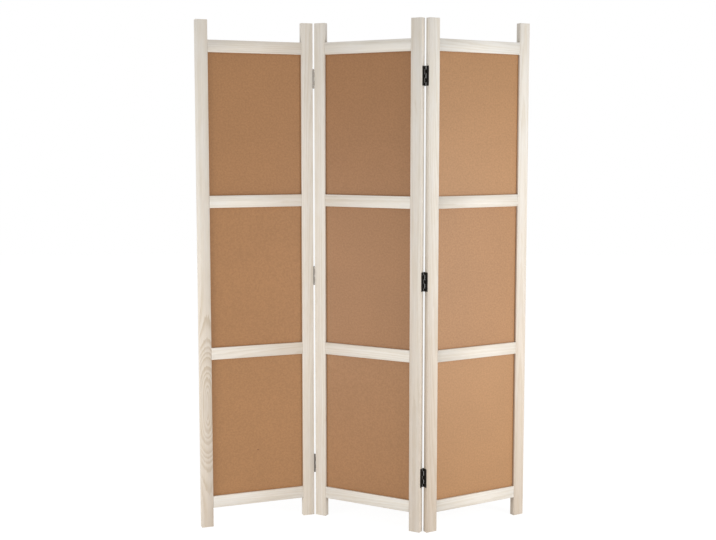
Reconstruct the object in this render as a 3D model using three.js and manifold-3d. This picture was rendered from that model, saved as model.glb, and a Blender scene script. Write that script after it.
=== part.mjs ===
// Folding room divider: three framed panels that stand in a zigzag on butt hinges.
// Millimetres, +Z up. Seen along +Y the front is towards the viewer and +X is to the right.
// The origin is on the floor, under the middle of the footprint in the half-open standing pose.

import * as THREE from "three";
import { mergeVertices } from "three/addons/utils/BufferGeometryUtils.js";
import Module from "manifold-3d";

const wasm = await Module();
wasm.setup();

// ---- Driving dimensions -------------------------------------------------------------------

// Rails from the floor up, and the boards between them
const railNames = ["bottom", "lower", "upper", "top"];
const boardNames = ["lower", "middle", "upper"];

// Panels
const panelWidth = 400;
const postHeight = 1700;
const postWidth = 40;
const frameThickness = 20;
const footHeight = 65; // floor to the bottom rail
const hornHeight = 65; // top rail to the top of the posts
const railHeight = 40;
const easedEdge = 0.8; // width of the eased long edges of posts and rails
const railEndClearance = 0.25; // between a rail's end and the post that it meets

// Infill boards and the grooves that hold them
const boardThickness = 3;
const boardSideClearance = 0.3; // between a board's face and its groove's wall
const grooveDepth = 8;
const boardEdgeClearance = 0.5; // between a board's edge and its groove's floor

// Dowels, glued into each rail end
const dowelRadius = 3;
const dowelSpacing = 16;
const dowelReach = 24; // how far a dowel enters the post
const dowelClearance = 0.3; // around a dowel and past its tip

// Butt hinges, screwed to the facing edges of the posts
const hingeHeight = 63.5;
const leafThickness = 1;
const leafWidth = 18.4; // from the pin's axis to the leaf's free edge
const leafCornerRadius = 2;
const barrelRadius = 2.1;
const pinRadius = 1.1;
const pinClearance = 0.3; // around the pin in its knuckles
const pinHeadRadius = 1.75;
const pinHeadHeight = 0.9;
const pinHeadShoulder = 1.2; // radius at which a pin's head starts to fall away
const pinHeadFall = 0.3; // how far the crown of a pin's head stands above its shoulder
const endKnuckle = 10; // height of the first and last knuckle
const centreKnuckle = 12;
const knuckleGaps = 4; // between the five knuckles
const knuckleClearance = 0.4; // between knuckles, and round a notch's ends
const notchClearance = 0.9; // between a barrel and the notch that lets it turn
const leafSeat = 0.2; // between a leaf and the post's edge
const pinStandoff = 0.6; // how far the pin's axis stands out from the posts' faces
const lowHingeZ = 185;
const middleHingeDrop = 5; // from the middle of the posts' height down to the middle hinge
const topHingeDrop = 185; // from the top of the posts down to the top hinge

// Countersunk screws, three in each leaf
const screwHeadRadius = 3;
const screwHeadProud = 0.3;
const screwHeadFlat = 2.1; // radius of the flat on top of a screw's head
const screwShankRadius = 1.4;
const screwLength = 16;
const screwTip = 3;
const screwClearance = 0.35; // around a shank in the post, and past its tip
const outerScrewSpread = 22; // from the hinge's middle to the first and last screw
const outerScrewReach = 12.5; // from the pin's axis to the first and last screw
const centreScrewReach = 8.5; // from the pin's axis to the middle screw

// Standing pose: each panel's angle to the screen's flat line, in degrees
const leftPanelAngle = 20.2;
const middlePanelAngle = -27.7;
const rightPanelAngle = 28.8;

// Facets and cuts
const overcut = 1; // how far the solid that makes a groove or hole stands out of the wood
const dowelSides = 8;
const screwSides = 8;
const barrelSides = 12;
const cornerSteps = 3;
const weldTolerance = 1e-4; // below this two corners of a facet are the same point

// ---- Sizes that follow ----------------------------------------------------------------------

const openingWidth = panelWidth - 2 * postWidth;
const topRailZ = postHeight - hornHeight - railHeight;
const railPitch = (topRailZ - footHeight) / boardNames.length;
const openingHeight = railPitch - railHeight;
const grooveWidth = boardThickness + 2 * boardSideClearance;
const grooveFrontY = (frameThickness - grooveWidth) / 2;
const boardOverlap = grooveDepth - boardEdgeClearance;
const postToPin = barrelRadius + leafSeat; // from a post's edge face to the pin's axis
const boreRadius = pinRadius + pinClearance;
const knuckleHeight = hingeHeight - knuckleGaps * knuckleClearance; // all five together
const innerKnuckle = (knuckleHeight - 2 * endKnuckle - centreKnuckle) / 2;
const middleHingeZ = postHeight / 2 - middleHingeDrop;
const hingeHeights = [lowHingeZ, middleHingeZ, postHeight - topHingeDrop];
const railBottoms = railNames.map((_, i) => footHeight + i * railPitch);

// ---- Solids ---------------------------------------------------------------------------------

function solidOf(geometry) {
  const bare = geometry.clone();
  bare.deleteAttribute("normal");
  bare.deleteAttribute("uv");
  const merged = mergeVertices(bare, weldTolerance);
  const vertProperties = new Float32Array(merged.attributes.position.array);
  const triVerts = new Uint32Array(merged.index.array);
  return new wasm.Manifold(new wasm.Mesh({ numProp: 3, vertProperties, triVerts }));
}

function geometryOf(solid) {
  const mesh = solid.getMesh();
  const geometry = new THREE.BufferGeometry();
  geometry.setAttribute("position", new THREE.BufferAttribute(mesh.vertProperties, 3));
  geometry.setIndex(new THREE.BufferAttribute(mesh.triVerts, 1));
  const flat = geometry.toNonIndexed();
  flat.computeVertexNormals();
  return flat;
}

function joined(solids) {
  return solids.reduce((whole, piece) => whole.add(piece));
}

function less(solid, cutters) {
  return cutters.reduce((whole, cutter) => whole.subtract(cutter), solid);
}

// A box from its low corner and its sizes.
function box(low, size) {
  const geometry = new THREE.BoxGeometry(...size);
  geometry.translate(...low.map((v, i) => v + size[i] / 2));
  return solidOf(geometry);
}

// A rod along X, from x = from to x = to.
function rodAlongX(from, to, y, z, radius, sides) {
  const geometry = new THREE.CylinderGeometry(radius, radius, to - from, sides);
  geometry.rotateZ(-Math.PI / 2);
  geometry.translate((from + to) / 2, y, z);
  return solidOf(geometry);
}

// A rod along Z, from z = from to z = to, on the axis x = y = 0.
function rodAlongZ(from, to, radius, sides) {
  const geometry = new THREE.CylinderGeometry(radius, radius, to - from, sides);
  geometry.rotateX(Math.PI / 2);
  geometry.translate(0, 0, (from + to) / 2);
  return solidOf(geometry);
}

// The outline of a bar's section with its four edges eased, from 0, 0 to width, height.
function easedSection(width, height) {
  const shape = new THREE.Shape();
  shape.moveTo(easedEdge, 0);
  shape.lineTo(width - easedEdge, 0);
  shape.lineTo(width, easedEdge);
  shape.lineTo(width, height - easedEdge);
  shape.lineTo(width - easedEdge, height);
  shape.lineTo(easedEdge, height);
  shape.lineTo(0, height - easedEdge);
  shape.lineTo(0, easedEdge);
  shape.closePath();
  return shape;
}

// ---- Wooden frame ---------------------------------------------------------------------------
// A panel's own frame: x from its left edge, y from its front face to its back, z from the floor.

// The two heights of a rail's dowels.
function dowelHeights(railZ) {
  const middle = railZ + railHeight / 2;
  return [middle - dowelSpacing / 2, middle + dowelSpacing / 2];
}

// Blind holes for every dowel that enters a post's inner edge at x = edge, on the side side.
function dowelHoles(edge, side) {
  const far = edge + side * (dowelReach + dowelClearance);
  const near = edge - side * overcut;
  const from = Math.min(near, far);
  const to = Math.max(near, far);
  const radius = dowelRadius + dowelClearance;
  return railBottoms.flatMap(dowelHeights).map(
    (z) => rodAlongX(from, to, frameThickness / 2, z, radius, dowelSides));
}

// Stopped grooves along a post's inner edge, one for each infill board.
function postGrooves(edge, side) {
  const x = side > 0 ? edge - overcut : edge - grooveDepth;
  return railBottoms.slice(0, -1).map((railZ) => {
    const low = [x, grooveFrontY, railZ + railHeight - grooveDepth];
    return box(low, [grooveDepth + overcut, grooveWidth, openingHeight + 2 * grooveDepth]);
  });
}

// Where a leaf's three screws go: distance from the pin's axis, and height from the hinge's middle.
const screwPlaces = [
  [outerScrewReach, -outerScrewSpread],
  [centreScrewReach, 0],
  [outerScrewReach, outerScrewSpread],
];

// Pilot holes for the hinge screws in a post's outer edge at x = edge.
function pilotHoles(edge, side, pinY, inward) {
  const far = edge + side * (screwLength + screwClearance);
  const near = edge - side * overcut;
  const from = Math.min(near, far);
  const to = Math.max(near, far);
  const radius = screwShankRadius + screwClearance;
  return hingeHeights.flatMap((hingeZ) => screwPlaces.map(
    ([reach, rise]) => rodAlongX(from, to, pinY + inward * reach, hingeZ + rise, radius, screwSides)));
}

// A post whose left edge is at x = left. side is +1 where its inner edge faces left.
function postSolid(left, side, hinge) {
  const section = easedSection(postWidth, frameThickness);
  const bar = new THREE.ExtrudeGeometry(section, { depth: postHeight, bevelEnabled: false });
  bar.translate(left, 0, 0);
  const innerEdge = side > 0 ? left : left + postWidth;
  const outerEdge = side > 0 ? left + postWidth : left;
  const cutters = [...dowelHoles(innerEdge, side), ...postGrooves(innerEdge, side)];
  if (hinge) cutters.push(...pilotHoles(outerEdge, -side, hinge.pinY, hinge.inward));
  return less(solidOf(bar), cutters);
}

// A rail between the posts with its glued dowels. Grooves run along the edges that meet a board.
function railSolid(railZ, grooveBelow, grooveAbove) {
  const length = openingWidth - 2 * railEndClearance;
  const start = postWidth + railEndClearance;
  const section = easedSection(frameThickness, railHeight);
  const bar = new THREE.ExtrudeGeometry(section, { depth: length, bevelEnabled: false });
  bar.applyMatrix4(new THREE.Matrix4().makeBasis(
    new THREE.Vector3(0, 1, 0), new THREE.Vector3(0, 0, 1), new THREE.Vector3(1, 0, 0)));
  bar.translate(start, 0, railZ);
  const grooveSize = [length + 2 * overcut, grooveWidth, grooveDepth + overcut];
  const cutters = [];
  const below = [start - overcut, grooveFrontY, railZ - overcut];
  const above = [start - overcut, grooveFrontY, railZ + railHeight - grooveDepth];
  if (grooveBelow) cutters.push(box(below, grooveSize));
  if (grooveAbove) cutters.push(box(above, grooveSize));
  const dowels = dowelHeights(railZ).map((z) => rodAlongX(
    postWidth - dowelReach, panelWidth - postWidth + dowelReach,
    frameThickness / 2, z, dowelRadius, dowelSides));
  return joined([less(solidOf(bar), cutters), ...dowels]);
}

function boardSolid(railZ) {
  const low = [
    postWidth - boardOverlap,
    (frameThickness - boardThickness) / 2,
    railZ + railHeight - boardOverlap,
  ];
  const size = [
    openingWidth + 2 * boardOverlap,
    boardThickness,
    openingHeight + 2 * boardOverlap,
  ];
  return box(low, size);
}

// ---- Butt hinge -----------------------------------------------------------------------------
// A leaf's own frame: the pin's axis is x = y = 0, the post's edge is on the +x side, the leaf
// reaches along +y, and z is measured from the hinge's middle.

// The five knuckles as [low, high], from the bottom up.
function knuckleSpans() {
  const heights = [endKnuckle, innerKnuckle, centreKnuckle, innerKnuckle, endKnuckle];
  let z = -hingeHeight / 2;
  return heights.map((height) => {
    const span = [z, z + height];
    z += height + knuckleClearance;
    return span;
  });
}

// The leaf's flat outline in y and z, with its free corners rounded.
function leafOutline() {
  const half = hingeHeight / 2;
  const r = leafCornerRadius;
  const shape = new THREE.Shape();
  shape.moveTo(0, -half);
  shape.lineTo(leafWidth - r, -half);
  shape.absarc(leafWidth - r, -half + r, r, -Math.PI / 2, 0, false);
  shape.lineTo(leafWidth, half - r);
  shape.absarc(leafWidth - r, half - r, r, 0, Math.PI / 2, false);
  shape.lineTo(0, half);
  shape.closePath();
  return shape;
}

// The plate stands at x = barrelRadius, so it runs off the barrel's side without a step.
function leafPlate() {
  const settings = { depth: leafThickness, bevelEnabled: false, curveSegments: cornerSteps };
  const plate = new THREE.ExtrudeGeometry(leafOutline(), settings);
  plate.applyMatrix4(new THREE.Matrix4().makeBasis(
    new THREE.Vector3(0, 1, 0), new THREE.Vector3(0, 0, 1), new THREE.Vector3(1, 0, 0)));
  plate.translate(barrelRadius - leafThickness, 0, 0);
  return solidOf(plate);
}

// A flush screw: a low domed head in the plate and a pointed shank that enters the post.
function screwSolid(reach, rise) {
  const plateFace = barrelRadius - leafThickness;
  const headTop = plateFace - screwHeadProud;
  const neck = plateFace + leafThickness / 2;
  const tip = postToPin + screwLength;
  const profile = [
    [0, headTop],
    [screwHeadFlat, headTop],
    [screwHeadRadius, plateFace],
    [screwHeadRadius, neck],
    [screwShankRadius, neck],
    [screwShankRadius, tip - screwTip],
    [0, tip],
  ];
  const points = profile.map(([radius, along]) => new THREE.Vector2(radius, along));
  const screw = new THREE.LatheGeometry(points, screwSides);
  screw.rotateZ(-Math.PI / 2);
  screw.translate(0, reach, rise);
  return solidOf(screw);
}

// owned holds the numbers of the knuckles that belong to this leaf, 0 at the bottom.
function leafSolid(owned) {
  const spans = knuckleSpans();
  const barrels = owned.map((i) => rodAlongZ(...spans[i], barrelRadius, barrelSides));
  const notchReach = barrelRadius + notchClearance;
  const notches = spans.filter((_, i) => !owned.includes(i)).map(([low, high]) => {
    const corner = [-barrelRadius, -notchReach, low - knuckleClearance];
    const height = high - low + 2 * knuckleClearance;
    return box(corner, [2 * barrelRadius + overcut, 2 * notchReach, height]);
  });
  const bore = rodAlongZ(-hingeHeight, hingeHeight, boreRadius, barrelSides);
  const screws = screwPlaces.map(([reach, rise]) => screwSolid(reach, rise));
  const plate = less(leafPlate(), notches);
  return joined([less(joined([plate, ...barrels]), [bore]), ...screws]);
}

// A straight pin with a small domed head at each end.
function pinSolid() {
  const half = hingeHeight / 2 + knuckleClearance;
  const crown = half + pinHeadHeight;
  const shoulder = crown - pinHeadFall;
  const profile = [
    [0, -crown],
    [pinHeadShoulder, -shoulder],
    [pinHeadRadius, -half],
    [pinRadius, -half],
    [pinRadius, half],
    [pinHeadRadius, half],
    [pinHeadShoulder, shoulder],
    [0, crown],
  ];
  const points = profile.map(([radius, z]) => new THREE.Vector2(radius, z));
  const pin = new THREE.LatheGeometry(points, barrelSides);
  pin.rotateX(Math.PI / 2);
  return solidOf(pin);
}

// ---- Materials ------------------------------------------------------------------------------

function finish(colour, roughness, metalness) {
  return () => new THREE.MeshStandardMaterial({ color: colour, roughness, metalness });
}

const paleWood = finish(0xe6dccf, 0.6, 0);
const brownBoard = finish(0xb8895c, 0.85, 0);
const blackMetal = finish(0x2b2724, 0.4, 0.7);
const darkSteel = finish(0x3a3633, 0.35, 0.9);

function named(name, solid, material) {
  const mesh = new THREE.Mesh(geometryOf(solid), material());
  mesh.name = name;
  return mesh;
}

// ---- Panels ---------------------------------------------------------------------------------

// What a joint needs: where its pins stand in y, and which way the leaves reach from them.
const frontHinge = { pinY: -pinStandoff, inward: 1 };
const backHinge = { pinY: frameThickness + pinStandoff, inward: -1 };

function addFrame(panel, name, leftHinge, rightHinge) {
  const rightPostX = panelWidth - postWidth;
  panel.add(named(name + "_left_post", postSolid(0, -1, leftHinge), paleWood));
  panel.add(named(name + "_right_post", postSolid(rightPostX, 1, rightHinge), paleWood));
  railBottoms.forEach((railZ, i) => {
    const solid = railSolid(railZ, i > 0, i < boardNames.length);
    panel.add(named(name + "_" + railNames[i] + "_rail", solid, paleWood));
  });
  railBottoms.slice(0, -1).forEach((railZ, i) => {
    panel.add(named(name + "_" + boardNames[i] + "_board", boardSolid(railZ), brownBoard));
  });
}

const threeKnuckles = [0, 2, 4];
const twoKnuckles = [1, 3];
const hingeNames = ["low", "middle", "top"];
// The joint whose pins stand behind the panels has its top hinge fitted the other way round.
const leftHasThree = { front: [true, true, true], back: [false, false, true] };

// Turns of a leaf from its own frame: the side of the pin that its post is on, and the face.
const leafTurns = {
  front: { left: [0, Math.PI, 0], right: [0, 0, 0] },
  back: { left: [0, 0, Math.PI], right: [Math.PI, 0, 0] },
};

// The three leaves of one joint that are screwed to this panel.
function addLeaves(panel, jointName, face, side) {
  const onRightEdge = side === "left"; // a leaf left of the pin is on its panel's right edge
  const pinX = onRightEdge ? panelWidth + postToPin : -postToPin;
  const pinY = face === "front" ? frontHinge.pinY : backHinge.pinY;
  hingeHeights.forEach((hingeZ, i) => {
    const hasThree = leftHasThree[face][i] === onRightEdge;
    const solid = leafSolid(hasThree ? threeKnuckles : twoKnuckles);
    const name = jointName + "_" + hingeNames[i] + "_hinge_" + side + "_leaf";
    const leaf = named(name, solid, blackMetal);
    leaf.position.set(pinX, pinY, hingeZ);
    leaf.rotation.set(...leafTurns[face][side]);
    panel.add(leaf);
  });
}

function addPins(panel, jointName, pinX, pinY) {
  hingeHeights.forEach((hingeZ, i) => {
    const pin = named(jointName + "_" + hingeNames[i] + "_hinge_pin", pinSolid(), darkSteel);
    pin.position.set(pinX, pinY, hingeZ);
    panel.add(pin);
  });
}

// ---- Layout ---------------------------------------------------------------------------------

const leftPanel = new THREE.Group();
const middlePanel = new THREE.Group();
const rightPanel = new THREE.Group();

addFrame(leftPanel, "left_panel", null, frontHinge);
addFrame(middlePanel, "middle_panel", frontHinge, backHinge);
addFrame(rightPanel, "right_panel", backHinge, null);

addLeaves(leftPanel, "left_joint", "front", "left");
addLeaves(middlePanel, "left_joint", "front", "right");
addPins(middlePanel, "left_joint", -postToPin, frontHinge.pinY);
addLeaves(middlePanel, "right_joint", "back", "left");
addLeaves(rightPanel, "right_joint", "back", "right");
addPins(middlePanel, "right_joint", panelWidth + postToPin, backHinge.pinY);

// Turns a panel, then moves it so that its point at x, y meets the given place on the floor plan.
function placePanel(panel, degrees, x, y, place) {
  const angle = THREE.MathUtils.degToRad(degrees);
  const offset = new THREE.Vector2(x, y).rotateAround(new THREE.Vector2(), angle);
  panel.rotation.z = angle;
  panel.position.set(place.x - offset.x, place.y - offset.y, 0);
}

function planPoint(panel, x, y) {
  const point = new THREE.Vector2(x, y).rotateAround(new THREE.Vector2(), panel.rotation.z);
  return point.add(new THREE.Vector2(panel.position.x, panel.position.y));
}

placePanel(middlePanel, middlePanelAngle, 0, 0, new THREE.Vector2());
const leftPin = planPoint(middlePanel, -postToPin, frontHinge.pinY);
const rightPin = planPoint(middlePanel, panelWidth + postToPin, backHinge.pinY);
placePanel(leftPanel, leftPanelAngle, panelWidth + postToPin, frontHinge.pinY, leftPin);
placePanel(rightPanel, rightPanelAngle, -postToPin, backHinge.pinY, rightPin);

const screen = new THREE.Group();
screen.add(leftPanel, middlePanel, rightPanel);

// The footprint's middle goes to the origin.
screen.updateMatrixWorld(true);
const bounds = new THREE.Box3().setFromObject(screen, true);
const centre = bounds.getCenter(new THREE.Vector3());
screen.position.set(-centre.x, -centre.y, 0);

export default screen;
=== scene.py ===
import math
import random
from collections import namedtuple

import bmesh
import bpy
from mathutils import Matrix, Vector


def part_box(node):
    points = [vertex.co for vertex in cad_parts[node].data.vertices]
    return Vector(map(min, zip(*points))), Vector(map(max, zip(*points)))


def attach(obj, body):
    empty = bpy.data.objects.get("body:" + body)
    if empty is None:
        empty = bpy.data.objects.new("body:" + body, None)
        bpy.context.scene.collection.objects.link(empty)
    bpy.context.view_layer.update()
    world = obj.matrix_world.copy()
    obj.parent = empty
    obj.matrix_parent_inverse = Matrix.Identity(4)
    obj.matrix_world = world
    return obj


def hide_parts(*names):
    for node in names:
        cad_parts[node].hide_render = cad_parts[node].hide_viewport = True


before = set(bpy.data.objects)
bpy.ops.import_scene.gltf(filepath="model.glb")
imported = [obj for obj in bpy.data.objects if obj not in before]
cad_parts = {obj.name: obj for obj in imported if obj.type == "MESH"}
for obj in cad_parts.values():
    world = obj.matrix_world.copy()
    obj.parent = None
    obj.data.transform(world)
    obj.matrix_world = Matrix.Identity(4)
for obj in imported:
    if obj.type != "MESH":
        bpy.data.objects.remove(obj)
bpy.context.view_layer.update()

# A folding room divider: three pine frames with fibreboard infills, joined edge to edge by black
# butt hinges. Metres, +Z up; the front is seen along +Y. Everything is placed from the CAD frame.

MM = 0.001

# ---- Real sizes that the frame doesn't give ---------------------------------------------------

POST_END_EASE = 0.9 * MM  # softening of a post's sawn ends
POST_END_STEPS = 3

HINGE_HEIGHT = 63.5 * MM
LEAF_WIDTH = 18.4 * MM  # from the pin's axis to the free edge
LEAF_THICKNESS = 1.0 * MM
LEAF_CORNER = 2.0 * MM
LEAF_CORNER_STEPS = 5
LEAF_EDGE_EASE = 0.12 * MM
LEAF_EDGE_STEPS = 2
BARREL_RADIUS = 2.1 * MM
CURL_BORE = 1.15 * MM  # inner radius of the rolled sheet
CURL_TURN = math.radians(292)  # how far the sheet is rolled round the pin
CURL_STEPS = 40
CURL_START = 0.6 * MM  # from the axis to where the flat plate goes over into the curl
NOTCH_REACH = 3.0 * MM  # from the axis to the floor of the notches between knuckles
END_KNUCKLE = 10.0 * MM
CENTRE_KNUCKLE = 12.0 * MM
KNUCKLE_GAP = 0.4 * MM
THREE_KNUCKLES = (0, 2, 4)  # a leaf's own knuckles, counted from the bottom
TWO_KNUCKLES = (1, 3)
PIN_RADIUS = 1.1 * MM
PIN_HEAD_RADIUS = 1.75 * MM
PIN_HEAD_HEIGHT = 0.9 * MM
PIN_HEAD_RIM = 0.35  # the share of the head's height that stands below its dome
PIN_DOME_TURNS = (0, 30, 60)
PIN_SIDES = 24

SCREW_SIDES = 24
SCREW_HEAD_RADIUS = 2.9 * MM
SCREW_HEAD_RIM = 0.12 * MM  # how far the head's edge lies below the leaf's face
SCREW_DOME = 0.25 * MM  # how far a head's crown stands out of the leaf
SCREW_DOME_TURNS = (25, 50, 75)
SCREW_SHANK = 1.4 * MM
SCREW_CORE = 1.05 * MM
SCREW_LENGTH = 16.0 * MM
SCREW_THREAD_PITCH = 1.1 * MM
SCREW_THREAD_RISE = 0.3 * SCREW_THREAD_PITCH  # along the screw, from a root to its crest
SCREW_TIP = 3.0 * MM
COUNTERSINK_CLEARANCE = 0.12 * MM
COUNTERSINK_RIM = 0.1 * MM
COUNTERSINK_SIDES = 32
OVERCUT = 0.5 * MM  # how far a cutter stands out of the leaf
CROSS_LENGTH = 3.3 * MM
CROSS_WIDTH = 0.85 * MM
CROSS_DEPTH = 1.2 * MM
CROSS_TAPER = 0.55  # how wide the cross is at its floor, against its top
SCREW_SPREAD = 22.0 * MM  # from the hinge's middle to the outer screws
OUTER_SCREW_REACH = 12.5 * MM
CENTRE_SCREW_REACH = 8.5 * MM
SCREW_PLACES = (  # from the pin's axis and from the hinge's middle
    (OUTER_SCREW_REACH, -SCREW_SPREAD),
    (CENTRE_SCREW_REACH, 0.0),
    (OUTER_SCREW_REACH, SCREW_SPREAD),
)
LEAF_SEAT = 0.2 * MM  # between a leaf and the post's edge

WELD = 1e-6  # points nearer than this are one point
SAME_HEIGHT = 1e-5
FLAT_WITHIN = math.radians(0.5)
SMOOTH_BELOW = math.radians(38)
SMOOTH_WOOD_BELOW = math.radians(50)
SMOOTH_SCREW_BELOW = math.radians(30)
EASED_ABOVE = math.radians(50)  # a leaf's edges sharper than this are eased

# ---- Plan of the screen -----------------------------------------------------------------------

PANELS = ("left_panel", "middle_panel", "right_panel")
RAILS = ("bottom", "lower", "upper", "top")
BOARDS = ("lower", "middle", "upper")
HINGES = ("low", "middle", "top")

# joint: the panels left and right of it, and whether its pins stand on the front or the back
JOINTS = {
    "left_joint": ("left_panel", "middle_panel", "front"),
    "right_joint": ("middle_panel", "right_panel", "back"),
}
# whether the left leaf is the one with three knuckles, from the low hinge up
THREE_ON_LEFT = {
    "left_joint": (True, True, True),
    "right_joint": (False, False, True),
}


def node_centre(node):
    low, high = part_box(node)
    return (low + high) / 2


def panel_direction(panel):
    """Unit vector along a panel's width, from its left post to its right one."""
    across = node_centre(panel + "_right_post") - node_centre(panel + "_left_post")
    return across.normalized()


UP = Vector((0, 0, 1))


def piece_axes(node, panel):
    """A piece's own place: x along its grain, y across its face and z through its thickness."""
    width = panel_direction(panel)
    along, across = (UP, width) if node.endswith("_post") else (width, UP)
    through = along.cross(across)
    turn = Matrix((along, across, through)).transposed().to_4x4()
    return Matrix.Translation(node_centre(node)) @ turn


# ---- Node graphs ------------------------------------------------------------------------------

MIX_FACTOR, MIX_FIRST, MIX_SECOND, MIX_RESULT = 0, 6, 7, 2  # the sockets of a colour mix
NOISE_BAND = (0.3, 0.7)  # most of a noise lies between these values

# scale: how fast it varies per metre along, across and through a piece; seed: added to the piece's
Noise = namedtuple("Noise", "scale seed detail roughness")


class Graph:
    """Writes the nodes of a material or a world, which is its owner."""

    def __init__(self, owner):
        self.owner = owner
        owner.use_nodes = True
        self.tree = owner.node_tree
        self.tree.nodes.clear()

    def put(self, socket, value):
        if isinstance(value, bpy.types.NodeSocket):
            self.tree.links.new(value, socket)
        else:
            socket.default_value = value

    def node(self, kind, *values, settings=None, **inputs):
        """Adds a node: the values fill its first sockets and the inputs those with their names."""
        node = self.tree.nodes.new("ShaderNode" + kind)
        for key, value in (settings or {}).items():
            setattr(node, key, value)
        for socket, value in zip(node.inputs, values):
            self.put(socket, value)
        for key, value in inputs.items():
            self.put(node.inputs[key.replace("_", " ")], value)
        return node

    def math(self, operation, *values, clamp=False):
        settings = {"operation": operation, "use_clamp": clamp}
        return self.node("Math", *values, settings=settings).outputs[0]

    def vector(self, operation, *values, **inputs):
        node = self.node("VectorMath", *values, settings={"operation": operation}, **inputs)
        return node.outputs["Value"] if operation == "LENGTH" else node.outputs[0]

    def surface_point(self):
        return self.node("TexCoord").outputs["Object"]

    def place(self, axes):
        """The surface point in a piece's own axes, in metres."""
        back = axes.inverted()
        mapping = self.node("Mapping", Vector=self.surface_point())
        mapping.inputs["Location"].default_value = back.to_translation()
        mapping.inputs["Rotation"].default_value = back.to_euler()
        return mapping.outputs[0]

    def texture(self, point, detail, roughness=0.5):
        return self.node(
            "TexNoise", Vector=point, Scale=1.0, Detail=detail, Roughness=roughness)

    def noise(self, point, kind, seed=0.0):
        """A noise from 0 to 1 at a point in a piece's own axes."""
        start = seed + kind.seed
        moved = self.vector("MULTIPLY_ADD", point, kind.scale, (start, 2 * start, 3 * start))
        return self.texture(moved, kind.detail, kind.roughness).outputs["Fac"]

    def spread(self, value, low, high, to_low=0.0, to_high=1.0):
        node = self.node(
            "MapRange", settings={"interpolation_type": "SMOOTHSTEP"}, Value=value,
            From_Min=low, From_Max=high, To_Min=to_low, To_Max=to_high)
        return node.outputs[0]

    def vary(self, noise, low, high):
        """Turns a noise into a value that goes from low to high."""
        return self.spread(noise, *NOISE_BAND, low, high)

    def mix(self, factor, first, second, blend="MIX"):
        node = self.node("Mix", settings={"data_type": "RGBA", "blend_type": blend})
        self.put(node.inputs[MIX_FACTOR], factor)
        self.put(node.inputs[MIX_FIRST], first)
        self.put(node.inputs[MIX_SECOND], second)
        return node.outputs[MIX_RESULT]

    def bump(self, height, distance, strength):
        return self.node("Bump", Height=height, Distance=distance, Strength=strength).outputs[0]

    def finish(self, shader, output="OutputMaterial"):
        """Ends the graph with a shader node and returns the graph's owner."""
        self.node(output, Surface=shader.outputs[0])
        return self.owner

    def principled(self, **inputs):
        return self.finish(self.node("BsdfPrincipled", **inputs))


def new_material(name):
    """The graph of a new material."""
    return Graph(bpy.data.materials.new(name))


def rgba(colour):
    return (*colour, 1.0)


PAINTED_LIGHT_WARMTH = 0.3  # a darker piece of wood or board is painted warmer too, and a lighter one cooler: painted warm bounce light below and painted cool key light above


def tone_with_painted_light(lightness):
    """The colour that a piece's finish is multiplied by, from how light the piece is painted: its own
    tone together with painted light and shade.
    """
    return rgba((lightness ** (1 - PAINTED_LIGHT_WARMTH), lightness, lightness ** (1 + PAINTED_LIGHT_WARMTH)))


# ---- Pine with a thin white wash --------------------------------------------------------------

EARLY_WOOD = (0.775, 0.705, 0.61)
LATE_WOOD = (0.63, 0.535, 0.41)
WASH = (0.80, 0.765, 0.72)

FACE_DEPTH = -10.0 * MM  # a piece's front face, from its middle
RING_PITCH = 4.2 * MM
RING_CONTRAST = 0.45
RING_RISE = (0.25, 0.86)  # the shares of a ring over which it darkens and then ends
RING_END = (0.9, 1.0)
RING_SWAY = 7.0 * MM  # how far the rings wander off a straight line
SWAY_SCALE = (1.7, 6.0, 6.0)
SWAY_MIDDLE = (0.5, 0.5, 0.5)
RAGGED = Noise((26.0, 240.0, 240.0), 0.0, 3.0, 0.6)
RAGGED_YEARS = 0.55  # how many rings wide their edges are frayed
UNEVEN_SCALE = 45.0  # how fast the rings' widths vary, per metre from the pith
UNEVEN_YEARS = 2.2
EYE_REACH = 0.17  # over this length to either side of an eye its rings bend back into the grain
EYE_SWAY = 0.3 * RING_SWAY  # how far they wander through the piece
EYE_CONTRAST = 1.15
EYE_FADE = (0.1, 0.6)

WOOD_FIBRE = Noise((18.0, 900.0, 900.0), 3.1, 4.0, 0.65)
WOOD_STREAK = Noise((3.0, 300.0, 300.0), 1.9, 2.0, 0.5)
WOOD_CLOUD = Noise((2.2, 22.0, 22.0), 7.7, 2.0, 0.5)
FIBRE_SHADE = (0.965, 1.025)
STREAK_SHADE = (0.975, 1.02)
CLOUD_SHADE = (0.98, 1.02)
WASH_PATCH = Noise((9.0, 45.0, 45.0), 5.3, 3.0, 0.6)
WASH_BAND = (0.35, 0.75)
WASH_COVER = (0.12, 0.5)
TONE_AND_LIGHT_REACH = 0.62  # the painted light and tone at a piece's two ends meet over this length to either side of its middle
LATE_RELIEF = 0.8
WOOD_BUMP = (0.12 * MM, 0.5)
WOOD_ROUGHNESS = (0.62, 0.5)
WOOD_SPECULAR = 0.35

# Where the tree's pith runs beside a piece, in the piece's own axes. The eye is where along the piece
# the pith comes up to the face, so that the rings close into an oval there.
Grain = namedtuple(
    "Grain", "across depth slope pitch contrast eye", defaults=(0.0, RING_PITCH, RING_CONTRAST, None))


def along_piece(g, point):
    return g.node("SeparateXYZ", Vector=point).outputs[0]


def eye_bell(g, along, grain, reach):
    """1 at the grain's eye, falling to 0 over the reach to either side of it."""
    off_eye = g.math("MULTIPLY_ADD", along, 1.0 / reach, -grain.eye / reach)
    return g.math("EXPONENT", g.math("MULTIPLY", g.math("MULTIPLY", off_eye, off_eye), -1.0))


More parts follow.
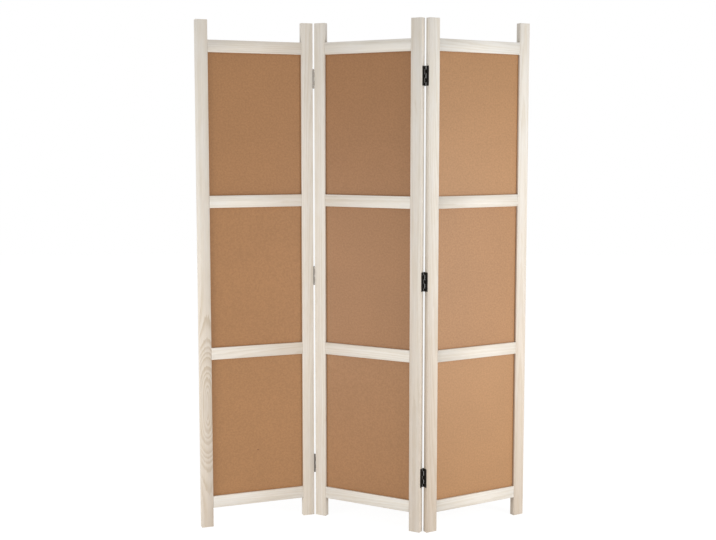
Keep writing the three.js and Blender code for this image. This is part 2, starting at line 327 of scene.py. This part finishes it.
def pith_distance(g, point, grain):
    """How far a surface point lies from the pith."""
    along, across, through = g.node("SeparateXYZ", Vector=point).outputs
    pith_line = g.math("MULTIPLY_ADD", along, grain.slope, grain.depth)
    if grain.eye is not None:
        bell = eye_bell(g, along, grain, EYE_REACH)
        pith_line = g.math("MULTIPLY_ADD", bell, FACE_DEPTH - grain.depth, pith_line)
    off_depth = g.math("SUBTRACT", through, pith_line)
    off_across = g.math("SUBTRACT", across, grain.across)
    squares = g.math("MULTIPLY_ADD", off_depth, off_depth, g.math("MULTIPLY", off_across, off_across))
    return g.math("SQRT", squares)


def swayed(g, point, grain, seed):
    """The point moved across the grain, so that straight rings wander."""
    moved = g.vector("MULTIPLY_ADD", point, SWAY_SCALE, (seed, 0, 0))
    centred = g.vector("SUBTRACT", g.texture(moved, 1.0).outputs["Color"], SWAY_MIDDLE)
    through = RING_SWAY if grain.eye is None else EYE_SWAY
    return g.vector("MULTIPLY_ADD", centred, (0.0, RING_SWAY, through), point)


def late_wood(g, point, grain, seed):
    """How much of each ring is its dark late wood: a slow rise and a sharp end."""
    bent = swayed(g, point, grain, seed)
    radius = pith_distance(g, bent, grain)
    years = g.math("MULTIPLY", radius, 1.0 / grain.pitch)
    ragged = g.noise(bent, RAGGED, seed)
    uneven = g.texture(g.math("MULTIPLY", radius, UNEVEN_SCALE), 1.0).outputs["Fac"]
    frayed = g.math("MULTIPLY_ADD", ragged, RAGGED_YEARS, years)
    phase = g.math("FRACT", g.math("MULTIPLY_ADD", uneven, UNEVEN_YEARS, frayed))
    late = g.math("MULTIPLY", g.spread(phase, *RING_RISE), g.spread(phase, *RING_END, 1.0, 0.0))
    contrast = grain.contrast
    if grain.eye is not None:
        near_eye = eye_bell(g, along_piece(g, point), grain, 2 * EYE_REACH)
        contrast = g.spread(near_eye, *EYE_FADE, grain.contrast, EYE_CONTRAST)
    return g.math("MULTIPLY", late, contrast)


def pine(name, axes, grain, at_low_end, at_high_end, seed):
    """Pine under a thin white wash. The two numbers say how light the wood is painted near its ends:
    its own tone together with painted light and shade, which for a post is darker and warmer towards
    its foot.
    """
    g = new_material("pine_" + name)
    point = g.place(axes)
    late = late_wood(g, point, grain, seed)
    wood = g.mix(late, rgba(EARLY_WOOD), rgba(LATE_WOOD))
    patch = g.noise(point, WASH_PATCH, seed)
    washed = g.mix(g.spread(patch, *WASH_BAND, *WASH_COVER), wood, rgba(WASH))
    end_to_end = g.spread(along_piece(g, point), -TONE_AND_LIGHT_REACH, TONE_AND_LIGHT_REACH)
    with_painted_light = g.mix(1.0, washed, g.mix(end_to_end, tone_with_painted_light(at_low_end), tone_with_painted_light(at_high_end)), "MULTIPLY")

    fibre = g.noise(point, WOOD_FIBRE, seed)
    streak = g.vary(g.noise(point, WOOD_STREAK, seed), *STREAK_SHADE)
    cloud = g.vary(g.noise(point, WOOD_CLOUD, seed), *CLOUD_SHADE)
    shade = g.math("MULTIPLY", g.math("MULTIPLY", g.vary(fibre, *FIBRE_SHADE), streak), cloud)
    relief = g.math("MULTIPLY_ADD", late, LATE_RELIEF, fibre)
    return g.principled(
        Base_Color=g.vector("SCALE", with_painted_light, Scale=shade),
        Roughness=g.vary(fibre, *WOOD_ROUGHNESS),
        Normal=g.bump(relief, *WOOD_BUMP),
        Specular_IOR_Level=WOOD_SPECULAR)


# ---- Fibreboard -------------------------------------------------------------------------------

BOARD_BROWN = (0.375, 0.184, 0.072)
FIBRE_DARK = (0.25, 0.108, 0.036)
FIBRE_LIGHT = (0.50, 0.29, 0.14)

BOARD_CLOUD = Noise((7.0, 7.0, 7.0), 0.0, 2.0, 0.5)
BOARD_MOTTLE = Noise((170.0, 170.0, 170.0), 1.3, 4.0, 0.65)
MOTTLE_SHADE = (0.91, 1.09)
LYING_FIBRE = Noise((160.0, 1100.0, 500.0), 2.9, 3.0, 0.7)
STANDING_FIBRE = LYING_FIBRE._replace(seed=4.1)
STANDING_TURN = math.radians(64)  # from the lying fibres to the standing ones
DARK_BAND = (0.62, 0.8)
DARK_COVER = 0.8
LIGHT_BAND = (0.75, 0.55)
LIGHT_COVER = 0.7
BOARD_BUMP = (0.06 * MM, 0.35)
BOARD_ROUGHNESS = (0.56, 0.48)
BOARD_SPECULAR = 0.5

SPECK_BROWN = (0.1, 0.035, 0.015)
SPECK_LENGTH = 4.0 * MM
SPECK_WIDTH = 1.6 * MM
SPECK_EDGE = (0.4, 1.1)
SPECK_COVER = 0.85


def specked(g, point, colour, place):
    """The colour with a dark splinter at a place on the board."""
    offset = g.vector("SUBTRACT", point, place)
    stretched = g.vector("MULTIPLY", offset, (1.0 / SPECK_LENGTH, 1.0 / SPECK_WIDTH, 0.0))
    spot = g.spread(g.vector("LENGTH", stretched), *SPECK_EDGE, SPECK_COVER, 0.0)
    return g.mix(spot, colour, rgba(SPECK_BROWN))


def fibreboard(name, axes, lightness, seed, speck):
    """Smooth kraft-brown board with fine pressed fibres; speck is a dark splinter's place or None."""
    g = new_material("fibreboard_" + name)
    point = g.place(axes)
    lying = g.noise(point, LYING_FIBRE, seed)
    turned = g.node("VectorRotate", Vector=point, Angle=STANDING_TURN).outputs[0]
    standing = g.noise(turned, STANDING_FIBRE, seed)
    both = g.math("ADD", lying, standing)
    dark = g.math("MAXIMUM", g.spread(lying, *DARK_BAND), g.spread(standing, *DARK_BAND))
    colour = g.mix(g.math("MULTIPLY", dark, DARK_COVER), rgba(BOARD_BROWN), rgba(FIBRE_DARK))
    colour = g.mix(g.spread(both, *LIGHT_BAND, 0.0, LIGHT_COVER), colour, rgba(FIBRE_LIGHT))
    # the board's lightness is its own tone together with painted light: brighter boards on the right
    # panel, nearest the side lamp, and mostly darker towards the top
    colour = g.mix(1.0, colour, tone_with_painted_light(lightness), "MULTIPLY")
    if speck is not None:
        colour = specked(g, point, colour, speck)
    cloud = g.vary(g.noise(point, BOARD_CLOUD, seed), *CLOUD_SHADE)
    mottle = g.noise(point, BOARD_MOTTLE, seed)
    shade = g.math("MULTIPLY", cloud, g.vary(mottle, *MOTTLE_SHADE))
    return g.principled(
        Base_Color=g.vector("SCALE", colour, Scale=shade),
        Roughness=g.vary(mottle, *BOARD_ROUGHNESS),
        Normal=g.bump(both, *BOARD_BUMP),
        Specular_IOR_Level=BOARD_SPECULAR)


# ---- Blackened steel --------------------------------------------------------------------------

LEAF_BLACK = (0.024, 0.020, 0.016)
LEAF_RUBBED = (0.06, 0.052, 0.044)
# the knuckles' bright steel is partly rub wear and partly a painted glint, far lighter than the black
# leaves beside them
KNUCKLE_STEEL_AND_GLINT = Vector((0.34, 0.31, 0.275))
KNUCKLE_RUBBED = Vector((0.46, 0.42, 0.38))
KNUCKLE_WEAR_AND_GLINT = {"low": 0.6, "middle": 0.85, "top": 1.25}  # how bright each hinge's knuckles are: rub wear and a painted glint, brightest on the top hinge, where the barrels catch the most light
PIN_STEEL = (0.05, 0.046, 0.042)
PIN_RUBBED = (0.12, 0.11, 0.1)

STEEL_PEEL = Noise((1500.0, 1500.0, 1500.0), 0.0, 2.0, 0.5)
STEEL_BUMP = (0.02 * MM, 0.3)
STEEL_RUB = Noise((230.0, 230.0, 230.0), 2.2, 4.0, 0.7)
RUB_BAND = (0.55, 0.8)
RUB_COVER = (0.0, 0.5)
POLISH_BAND = (0.3, 0.75)
DULLER = 0.05  # how much rougher than its named roughness the steel is where nothing rubs it
SMOOTHER = 0.06  # and how much smoother where it is rubbed most
STEEL_SPECULAR = 0.5


def steel(name, colour, rub_colour, roughness, metallic, seed):
    """Blackened steel, a little rubbed, with a fine orange peel."""
    g = new_material(name)
    point = g.surface_point()
    rub = g.noise(point, STEEL_RUB, seed)
    return g.principled(
        Base_Color=g.mix(g.spread(rub, *RUB_BAND, *RUB_COVER), rgba(colour), rgba(rub_colour)),
        Roughness=g.spread(rub, *POLISH_BAND, roughness + DULLER, roughness - SMOOTHER),
        Metallic=metallic,
        Normal=g.bump(g.noise(point, STEEL_PEEL, seed), *STEEL_BUMP),
        Specular_IOR_Level=STEEL_SPECULAR)


def knuckle_wear_and_glint_finishes():
    """A finish for the knuckles of each hinge, whose black has worn off to bare steel, made brighter
    still as a painted glint, most on the top hinge.
    """
    finishes = {}
    for seed, (hinge, glint_and_wear) in enumerate(KNUCKLE_WEAR_AND_GLINT.items(), start=2):
        finishes[hinge] = steel(
            "knuckle_wear_and_glint_" + hinge, KNUCKLE_STEEL_AND_GLINT * glint_and_wear, KNUCKLE_RUBBED * glint_and_wear, roughness=0.3,
            metallic=0.9, seed=seed)
    return finishes


# ---- Mesh helpers -----------------------------------------------------------------------------


def new_piece(name, mesh, material, body):
    """Adds an object that rides on a body and takes its finish from a slot."""
    mesh.materials.append(material)
    piece = bpy.data.objects.new(name, mesh)
    bpy.context.scene.collection.objects.link(piece)
    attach(piece, body)
    return piece


def mesh_of(bm, name, smooth_below=SMOOTH_BELOW):
    mesh = bpy.data.meshes.new(name)
    bmesh.ops.recalc_face_normals(bm, faces=bm.faces)
    bm.to_mesh(mesh)
    bm.free()
    mesh.shade_smooth()
    mesh.set_sharp_from_angle(angle=smooth_below)
    return mesh


def lathe(profile, sides):
    """Turns (radius, x) points about the x axis; the profile starts and ends on the axis."""
    bm = bmesh.new()
    rings = []
    for radius, x in profile:
        if radius == 0:
            rings.append([bm.verts.new((x, 0, 0))])
            continue
        angles = [2 * math.pi * i / sides for i in range(sides)]
        rings.append([bm.verts.new((x, radius * math.cos(a), radius * math.sin(a))) for a in angles])
    for low, high in zip(rings, rings[1:]):
        for i in range(sides):
            j = (i + 1) % sides
            corners = [low[i % len(low)], low[j % len(low)], high[j % len(high)], high[i % len(high)]]
            bm.faces.new(list(dict.fromkeys(corners)))
    return bm


def cut(mesh, cutter_mesh):
    """The mesh less the cutter."""
    target = bpy.data.objects.new("target", mesh)
    cutter = bpy.data.objects.new("cutter", cutter_mesh)
    for obj in (target, cutter):
        bpy.context.scene.collection.objects.link(obj)
    modifier = target.modifiers.new("cut", "BOOLEAN")
    modifier.operation = "DIFFERENCE"
    modifier.solver = "EXACT"
    modifier.object = cutter
    graph = bpy.context.evaluated_depsgraph_get()
    result = bpy.data.meshes.new_from_object(target.evaluated_get(graph))
    for obj in (target, cutter):
        bpy.data.objects.remove(obj)
    return result


# ---- Posts and rails --------------------------------------------------------------------------


def is_end_edge(edge, low, high):
    """An edge round a post's foot or top."""
    return any(all(abs(v.co.z - z) < SAME_HEIGHT for v in edge.verts) for z in (low, high))


def eased_wood(node):
    """The CAD solid, with its grooves, holes and eased long edges, and a post's ends eased too."""
    bm = bmesh.new()
    bm.from_mesh(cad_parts[node].data)
    bmesh.ops.remove_doubles(bm, verts=bm.verts, dist=WELD)
    bmesh.ops.dissolve_limit(bm, angle_limit=FLAT_WITHIN, verts=bm.verts, edges=bm.edges)
    if node.endswith("_post"):
        low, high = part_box(node)
        ends = [e for e in bm.edges if is_end_edge(e, low.z, high.z)]
        bmesh.ops.bevel(
            bm, geom=ends, offset=POST_END_EASE, offset_type="OFFSET", segments=POST_END_STEPS,
            profile=0.5, affect="EDGES", clamp_overlap=True)
    bmesh.ops.triangulate(bm, faces=[f for f in bm.faces if len(f.verts) > 4])
    return mesh_of(bm, node + "_eased", SMOOTH_WOOD_BELOW)


# ---- Hinges -----------------------------------------------------------------------------------
# A leaf's own frame is the CAD one: the pin's axis is x = y = 0, the post's edge lies on the +x
# side, the leaf reaches along +y and z is measured from the hinge's middle.


def knuckle_spans():
    """The heights that the five knuckles lie between, from the bottom up."""
    inner = (HINGE_HEIGHT - 2 * END_KNUCKLE - CENTRE_KNUCKLE - 4 * KNUCKLE_GAP) / 2
    spans = []
    z = -HINGE_HEIGHT / 2
    for height in (END_KNUCKLE, inner, CENTRE_KNUCKLE, inner, END_KNUCKLE):
        spans.append((z, z + height))
        z += height + KNUCKLE_GAP
    return spans


def sheet_columns():
    """Pairs of points on the sheet's two faces, from the leaf's free edge to the curl's end."""
    outer_x = BARREL_RADIUS
    inner_x = BARREL_RADIUS - LEAF_THICKNESS
    reaches = []
    for i in range(LEAF_CORNER_STEPS + 1):
        turn = math.pi / 2 * i / LEAF_CORNER_STEPS
        reaches.append(LEAF_WIDTH - LEAF_CORNER * (1 - math.cos(turn)))
    reaches += [NOTCH_REACH, CURL_START]
    columns = [((outer_x, y), (inner_x, y)) for y in reaches]
    for i in range(CURL_STEPS + 1):
        turn = CURL_TURN * i / CURL_STEPS
        spot = Vector((math.cos(turn), -math.sin(turn)))
        columns.append((tuple(spot * BARREL_RADIUS), tuple(spot * CURL_BORE)))
    return columns, reaches.index(NOTCH_REACH)


def half_height_at(y):
    """Half the leaf's height at a distance from the pin, with the free corners rounded."""
    into_corner = y - (LEAF_WIDTH - LEAF_CORNER)
    if into_corner <= 0:
        return HINGE_HEIGHT / 2
    drop = LEAF_CORNER - math.sqrt(max(LEAF_CORNER**2 - into_corner**2, 0))
    return HINGE_HEIGHT / 2 - drop


def leaf_mesh(owned):
    """One bent sheet: a plate with notches, rolled into its own knuckles, with countersinks."""
    half = HINGE_HEIGHT / 2
    spans = knuckle_spans()
    lines = sorted({-half, half, *(z for i in owned for z in spans[i])})
    lines = [z for i, z in enumerate(lines) if i == 0 or z - lines[i - 1] > WELD]
    columns, notch_column = sheet_columns()

    def is_solid(row, column):
        if not (0 <= row < len(lines) - 1 and 0 <= column < len(columns) - 1):
            return False
        middle = (lines[row] + lines[row + 1]) / 2
        rolled = any(spans[i][0] < middle < spans[i][1] for i in owned)
        return column < notch_column or rolled

    bm = bmesh.new()
    made = {}

    def vert(row, column, face):
        key = (row, column, face)
        if key not in made:
            x, y = columns[column][face]
            limit = half_height_at(y) if column < notch_column else half
            made[key] = bm.verts.new((x, y, max(-limit, min(limit, lines[row]))))
        return made[key]

    for row in range(len(lines) - 1):
        for column in range(len(columns) - 1):
            if not is_solid(row, column):
                continue
            corners = [(row, column), (row, column + 1), (row + 1, column + 1), (row + 1, column)]
            beyond = [(row - 1, column), (row, column + 1), (row + 1, column), (row, column - 1)]
            for face in (0, 1):
                bm.faces.new([vert(r, c, face) for r, c in corners])
            for (a, b), side in zip(zip(corners, corners[1:] + corners[:1]), beyond):
                if not is_solid(*side):
                    bm.faces.new([vert(*a, 0), vert(*b, 0), vert(*b, 1), vert(*a, 1)])
    plate = mesh_of(bm, "leaf")
    for reach, rise in SCREW_PLACES:
        hole = lathe(countersink_profile(), COUNTERSINK_SIDES)
        bmesh.ops.translate(hole, verts=hole.verts, vec=(0, reach, rise))
        plate = cut(plate, mesh_of(hole, "countersink"))
    for polygon in plate.polygons:
        polygon.material_index = int(polygon.center.y < 0)  # the rolled knuckles' own finish
    return plate


def countersink_profile():
    face = BARREL_RADIUS - LEAF_THICKNESS
    back = face + LEAF_THICKNESS
    wide = SCREW_HEAD_RADIUS + COUNTERSINK_CLEARANCE
    narrow = SCREW_SHANK + 2 * COUNTERSINK_CLEARANCE
    return [
        (0, face - OVERCUT),
        (wide, face - OVERCUT),
        (wide, face + COUNTERSINK_RIM),
        (narrow, back),
        (narrow, back + OVERCUT),
        (0, back + OVERCUT),
    ]


def screw_mesh():
    """A countersunk wood screw along +x with a cross recess."""
    face = BARREL_RADIUS - LEAF_THICKNESS
    neck = face + LEAF_THICKNESS
    tip = BARREL_RADIUS + LEAF_SEAT + SCREW_LENGTH
    profile = [(0, face - SCREW_DOME)]
    for turn in map(math.radians, SCREW_DOME_TURNS):
        profile.append((SCREW_HEAD_RADIUS * math.sin(turn), face - SCREW_DOME * math.cos(turn)))
    profile += [(SCREW_HEAD_RADIUS, face + SCREW_HEAD_RIM), (SCREW_SHANK, neck)]
    x = neck + SCREW_THREAD_PITCH
    while x < tip - SCREW_TIP:
        profile += [(SCREW_CORE, x - SCREW_THREAD_RISE), (SCREW_SHANK, x)]
        x += SCREW_THREAD_PITCH
    profile += [(SCREW_CORE, tip - SCREW_TIP), (0, tip)]
    screw = mesh_of(lathe(profile, SCREW_SIDES), "screw", SMOOTH_SCREW_BELOW)
    for height, width in ((CROSS_LENGTH, CROSS_WIDTH), (CROSS_WIDTH, CROSS_LENGTH)):
        screw = cut(screw, recess_bar(height / 2, width / 2))
    return screw


def recess_bar(half_y, half_z):
    """The cutter for one bar of the cross recess, which narrows towards its floor."""
    face = BARREL_RADIUS - LEAF_THICKNESS
    top = face - 2 * SCREW_DOME
    floor = face - SCREW_DOME + CROSS_DEPTH
    corners = ((-1, -1), (1, -1), (1, 1), (-1, 1))
    bm = bmesh.new()
    rings = []
    for x, scale in ((top, 1.0), (floor, CROSS_TAPER)):
        rings.append([bm.verts.new((x, y * half_y * scale, z * half_z * scale)) for y, z in corners])
        bm.faces.new(rings[-1])
    for i, j in ((0, 1), (1, 2), (2, 3), (3, 0)):
        bm.faces.new((rings[0][i], rings[0][j], rings[1][j], rings[1][i]))
    return mesh_of(bm, "recess")


def pin_mesh():
    """A straight pin along z with a domed head at each end."""
    half = HINGE_HEIGHT / 2 + KNUCKLE_GAP
    dome = []
    for turn in map(math.radians, PIN_DOME_TURNS):
        rise = PIN_HEAD_HEIGHT * (PIN_HEAD_RIM + (1 - PIN_HEAD_RIM) * math.sin(turn))
        dome.append((PIN_HEAD_RADIUS * math.cos(turn), half + rise))
    side = [(PIN_RADIUS, half), (PIN_HEAD_RADIUS, half), *dome, (0, half + PIN_HEAD_HEIGHT)]
    profile = [(r, -x) for r, x in reversed(side)] + side
    bm = lathe(profile, PIN_SIDES)
    bmesh.ops.rotate(bm, verts=bm.verts, matrix=Matrix.Rotation(-math.pi / 2, 3, "Y"))
    return mesh_of(bm, "pin")


HINGE_SEED = 7
PIN_BODY = "middle_panel"

# Turns of a leaf from its own frame, by the face that the pins stand on and the leaf's side
LEAF_TURNS = {
    ("front", "left"): Matrix.Rotation(math.pi, 4, "Y"),
    ("front", "right"): Matrix.Identity(4),
    ("back", "left"): Matrix.Rotation(math.pi, 4, "Z"),
    ("back", "right"): Matrix.Rotation(math.pi, 4, "X"),
}


def panel_turn(panel):
    direction = panel_direction(panel)
    return Matrix.Rotation(math.atan2(direction.y, direction.x), 4, "Z")


def placed(mesh, name, matrix):
    copy = mesh.copy()
    copy.name = name
    copy.transform(matrix)
    return copy


def add_leaf(node, mesh, leaf_finish, knuckle_finish, panel):
    leaf = new_piece(node + "_sheet", mesh, leaf_finish, panel)
    leaf.data.materials.append(knuckle_finish)
    bevel = leaf.modifiers.new("eased edges", "BEVEL")
    bevel.width = LEAF_EDGE_EASE
    bevel.segments = LEAF_EDGE_STEPS
    bevel.limit_method = "ANGLE"
    bevel.angle_limit = EASED_ABOVE
    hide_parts(node)


def add_hinges(leaf_finish, knuckle_finishes, pin_finish):
    """Two leaves, six screws and a pin for every hinge; each screw's cross has its own turn."""
    rng = random.Random(HINGE_SEED)
    leaves = {True: leaf_mesh(THREE_KNUCKLES), False: leaf_mesh(TWO_KNUCKLES)}
    screw = screw_mesh()
    pin = pin_mesh()
    for joint, (left, right, face) in JOINTS.items():
        for hinge, three_on_left in zip(HINGES, THREE_ON_LEFT[joint]):
            stem = joint + "_" + hinge + "_hinge_"
            centre = Matrix.Translation(node_centre(stem + "pin"))
            for side, panel in (("left", left), ("right", right)):
                has_three = three_on_left == (side == "left")
                matrix = centre @ panel_turn(panel) @ LEAF_TURNS[face, side]
                node = stem + side + "_leaf"
                mesh = placed(leaves[has_three], node, matrix)
                add_leaf(node, mesh, leaf_finish, knuckle_finishes[hinge], panel)
                for i, (reach, rise) in enumerate(SCREW_PLACES, start=1):
                    spin = Matrix.Rotation(rng.uniform(0, math.pi / 2), 4, "X")
                    spot = matrix @ Matrix.Translation((0, reach, rise)) @ spin
                    name = node + "_screw_" + str(i)
                    new_piece(name, placed(screw, name, spot), leaf_finish, panel)
            mesh = placed(pin, stem + "pin", centre @ panel_turn(PIN_BODY))
            rod = new_piece(stem + "pin_rod", mesh, pin_finish, PIN_BODY)
            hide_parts(stem + "pin")


# ---- Frames and boards ------------------------------------------------------------------------


# how light each piece is painted, its own tone together with painted light and shade (darker, warmer
# post feet, a brighter right panel near the side lamp): posts near the foot and near the top, rails and
# boards from the bottom up
POST_TONE_AND_PAINTED_LIGHT = {
    "left_panel_left_post": (0.86, 1.04),
    "left_panel_right_post": (0.97, 1.02),
    "middle_panel_left_post": (0.99, 1.04),
    "middle_panel_right_post": (0.91, 1.04),
    "right_panel_left_post": (0.79, 1.07),
    "right_panel_right_post": (0.80, 1.06),
}
RAIL_TONE_AND_PAINTED_LIGHT = {
    "left_panel": (1.07, 1.0, 1.04, 1.0),
    "middle_panel": (1.10, 1.06, 1.05, 1.11),
    "right_panel": (1.05, 1.0, 1.03, 1.13),
}
BOARD_TONE_AND_PAINTED_LIGHT = {
    "left_panel": (1.04, 1.0, 0.97),
    "middle_panel": (0.98, 0.92, 0.89),
    "right_panel": (1.17, 1.05, 1.16),
}

FRAME_SEED = 21
PITH_ACROSS = 30  # mm to either side of a piece's middle
PITH_DEPTH = (25, 70)  # mm before or behind a piece
PITH_SLOPE = 0.02  # how steeply the pith nears or leaves a piece, at most
SEED_REACH = 90  # the noises of the pieces start at places up to this far apart
EYED_GRAINS = {
    "left_panel_left_post": Grain(across=5 * MM, depth=-70 * MM, pitch=6 * MM, contrast=0.4, eye=-0.43),
}

BOARD_SEED = 5
SPECKS = {"left_panel_lower_board": (0.0, -0.09, 0.0)}  # in the board's own axes


def frame_parts(panel):
    """A panel's posts and rails, with how light each is painted at its two ends, tone and painted light
    together.
    """
    for post in ("left_post", "right_post"):
        yield panel + "_" + post, *POST_TONE_AND_PAINTED_LIGHT[panel + "_" + post]
    for rail, lightness in zip(RAILS, RAIL_TONE_AND_PAINTED_LIGHT[panel]):
        yield panel + "_" + rail + "_rail", lightness, lightness


def add_frames():
    """Every post and rail gets eased edges and a grain of its own."""
    rng = random.Random(FRAME_SEED)
    for panel in PANELS:
        for node, at_low_end, at_high_end in frame_parts(panel):
            across = rng.uniform(-PITH_ACROSS, PITH_ACROSS) * MM
            depth = rng.choice((-1, 1)) * rng.uniform(*PITH_DEPTH) * MM
            slope = rng.uniform(-PITH_SLOPE, PITH_SLOPE)
            seed = rng.uniform(0, SEED_REACH)
            grain = EYED_GRAINS.get(node, Grain(across, depth, slope))
            axes = piece_axes(node, panel)
            finish = pine(node, axes, grain, at_low_end, at_high_end, seed)
            piece = new_piece(node + "_wood", eased_wood(node), finish, panel)
            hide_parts(node)


def add_boards():
    """The CAD boards get a finish and keep their shape."""
    rng = random.Random(BOARD_SEED)
    for panel in PANELS:
        for part, lightness in zip(BOARDS, BOARD_TONE_AND_PAINTED_LIGHT[panel]):
            node = panel + "_" + part + "_board"
            seed = rng.uniform(0, SEED_REACH)
            finish = fibreboard(node, piece_axes(node, panel), lightness, seed, SPECKS.get(node))
            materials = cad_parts[node].data.materials
            materials.clear()
            materials.append(finish)


# ---- Stage, light and camera ------------------------------------------------------------------

FLOOR_HALF = 9.0
FLOOR_COLOUR = (0.86, 0.855, 0.845)
FLOOR_STEPS = 8
FLOOR_CLOUD = Noise((3.0, 3.0, 3.0), 0.4, 2.0, 0.5)
FLOOR_SHADE = (0.98, 1.0)
FLOOR_SHOWN = 0.88  # how much of the shown floor is plain white
FLOOR_CATCHING = (0.2, 0.2, 0.2)  # the rest of it, which takes the object's shadow
WORLD_LIGHT = 0.64  # how bright the world is on things, against how it is seen
WHITE = (1.0, 1.0, 1.0)


def seen_directly(g):
    """1 for camera, glossy and transmission rays, and 0 for the light that lands on things."""
    path = g.node("LightPath").outputs
    seen = g.math("ADD", path["Is Camera Ray"], path["Is Glossy Ray"])
    return g.math("ADD", seen, path["Is Transmission Ray"], clamp=True)


def floor_material():
    g = new_material("pale_floor")
    cloud = g.vary(g.noise(g.surface_point(), FLOOR_CLOUD), *FLOOR_SHADE)
    plain = g.node("BsdfDiffuse", Color=g.vector("SCALE", FLOOR_COLOUR, Scale=cloud))
    white = g.node("Emission", Strength=FLOOR_SHOWN)
    shadow = g.node("BsdfDiffuse", Color=rgba(FLOOR_CATCHING))
    shown = g.node("AddShader", white.outputs[0], shadow.outputs[0])
    return g.finish(g.node("MixShader", seen_directly(g), plain.outputs[0], shown.outputs[0]))


def add_floor():
    bm = bmesh.new()
    bmesh.ops.create_grid(bm, x_segments=FLOOR_STEPS, y_segments=FLOOR_STEPS, size=FLOOR_HALF)
    mesh = mesh_of(bm, "floor")
    mesh.materials.append(floor_material())
    floor = bpy.data.objects.new("floor", mesh)
    bpy.context.scene.collection.objects.link(floor)


def set_world():
    """Plain white where it is seen, and a softer even light on things."""
    world = bpy.data.worlds.new("studio")
    bpy.context.scene.world = world
    g = Graph(world)
    extra = g.math("MULTIPLY", seen_directly(g), 1.0 - WORLD_LIGHT)
    strength = g.math("ADD", extra, WORLD_LIGHT)
    g.finish(g.node("Background", Color=rgba(WHITE), Strength=strength), "OutputWorld")


def add_softbox(name, place, aim, width, height, power):
    lamp = bpy.data.lights.new(name, "AREA")
    lamp.shape = "RECTANGLE"
    lamp.size = width
    lamp.size_y = height
    lamp.energy = power
    lamp.color = WHITE
    obj = bpy.data.objects.new(name, lamp)
    obj.location = place
    obj.rotation_euler = (Vector(aim) - Vector(place)).to_track_quat("-Z", "Y").to_euler()
    bpy.context.scene.collection.objects.link(obj)


def add_lights():
    add_softbox(
        "side_softbox", place=(1.8, -1.08, 0.72), aim=(0.3, 0.0, 0.72), width=0.7, height=1.35,
        power=19.5)
    add_softbox(
        "left_softbox", place=(-1.65, -1.0, 0.6), aim=(0.0, 0.0, 0.6), width=0.8, height=1.15,
        power=13.0)


CAMERA_PLACE = (-0.0222, -3.66995, 1.29775)
CAMERA_PITCH = 5.547  # degrees below the level
SENSOR_WIDTH = 36.0
PHOTO_WIDTH, PHOTO_HEIGHT = 716, 540
FOCAL_PIXELS = 1097.3
CENTRE_ROW = 250.0  # the photo row that the lens looks at


def add_camera():
    data = bpy.data.cameras.new("camera")
    data.sensor_width = SENSOR_WIDTH
    data.lens = SENSOR_WIDTH * FOCAL_PIXELS / PHOTO_WIDTH
    data.shift_y = (CENTRE_ROW - PHOTO_HEIGHT / 2) / PHOTO_WIDTH
    camera = bpy.data.objects.new("camera", data)
    camera.location = CAMERA_PLACE
    camera.rotation_euler = (math.radians(90 - CAMERA_PITCH), 0, 0)
    bpy.context.scene.collection.objects.link(camera)
    bpy.context.scene.camera = camera


# ---- Build ------------------------------------------------------------------------------------

add_frames()
add_boards()
add_hinges(
    steel("black_leaf", LEAF_BLACK, LEAF_RUBBED, roughness=0.42, metallic=0.3, seed=1.0),
    knuckle_wear_and_glint_finishes(),
    steel("dark_steel_pin", PIN_STEEL, PIN_RUBBED, roughness=0.3, metallic=0.6, seed=4.0),
)
add_floor()
set_world()
add_lights()
add_camera()

bpy.context.scene.view_settings.view_transform = "Standard"
